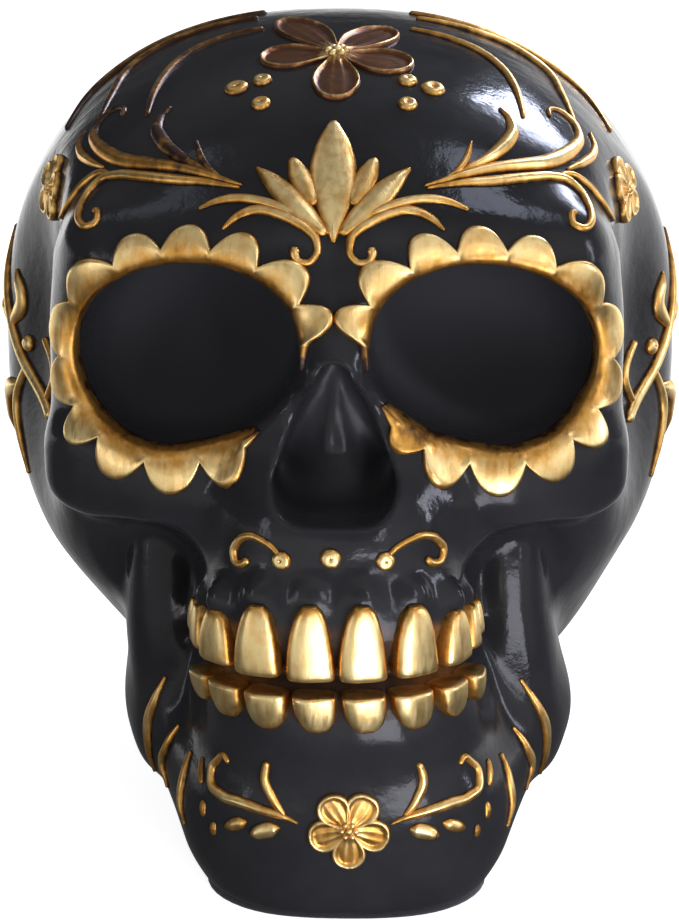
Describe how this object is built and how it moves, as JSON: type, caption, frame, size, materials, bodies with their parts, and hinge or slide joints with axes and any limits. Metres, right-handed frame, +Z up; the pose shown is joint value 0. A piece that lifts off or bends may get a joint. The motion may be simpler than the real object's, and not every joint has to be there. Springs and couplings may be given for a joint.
{
  "type": "sugar skull ornament",
  "caption": "Hollow cast resin skull with raised gilt petals, scrolls, flowers and teeth, a stopper in the base and a felt pad.",
  "frame": {"origin": "middle of the felt pad's underside, where the skull stands on the table", "axes": "+Z up, the face looks toward -Y, +X is the skull's own left"},
  "size_m": [0.124, 0.1455, 0.1425],
  "materials": {
    "black_resin": "black gloss paint on cast resin",
    "gilt": "antiqued gold paint, rubbed back",
    "stopper_rubber": "matt",
    "felt": "felt"
  },
  "bodies": {
    "root": {"base_stopper": "stopper_rubber", "brow_scroll_left": "gilt", "brow_scroll_right": "gilt", "chin_flower": "gilt", "chin_lozenge_left": "gilt", "chin_lozenge_right": "gilt", "chin_scroll_left": "gilt", "chin_scroll_right": "gilt", "crown_arc_inner_left": "gilt", "crown_arc_inner_right": "gilt", "crown_arc_middle_left": "gilt", "crown_arc_middle_right": "gilt", "crown_arc_outer_left": "gilt", "crown_arc_outer_right": "gilt", "crown_bead_lower_left": "gilt", "crown_bead_lower_right": "gilt", "crown_bead_outer_left": "gilt", "crown_bead_outer_right": "gilt", "crown_bead_upper_left": "gilt", "crown_bead_upper_right": "gilt", "crown_flower": "gilt", "eye_petal_ring_left": "gilt", "eye_petal_ring_right": "gilt", "felt_pad": "felt", "forehead_lotus": "gilt", "jaw_stripe_1_left": "gilt", "jaw_stripe_1_right": "gilt", "jaw_stripe_2_left": "gilt", "jaw_stripe_2_right": "gilt", "jaw_stripe_3_left": "gilt", "jaw_stripe_3_right": "gilt", "lip_bead": "gilt", "lip_curl_left": "gilt", "lip_curl_right": "gilt", "lower_tooth_1_left": "gilt", "lower_tooth_1_right": "gilt", "lower_tooth_2_left": "gilt", "lower_tooth_2_right": "gilt", "lower_tooth_3_left": "gilt", "lower_tooth_3_right": "gilt", "lower_tooth_4_left": "gilt", "lower_tooth_4_right": "gilt", "side_vine_left": "gilt", "side_vine_right": "gilt", "skull_casting": "black_resin", "temple_flower_left": "gilt", "temple_flower_right": "gilt", "temple_spray_left": "gilt", "temple_spray_right": "gilt", "upper_tooth_1_left": "gilt", "upper_tooth_1_right": "gilt", "upper_tooth_2_left": "gilt", "upper_tooth_2_right": "gilt", "upper_tooth_3_left": "gilt", "upper_tooth_3_right": "gilt", "upper_tooth_4_left": "gilt", "upper_tooth_4_right": "gilt", "upper_tooth_5_left": "gilt", "upper_tooth_5_right": "gilt"}
  },
  "joints": []
}
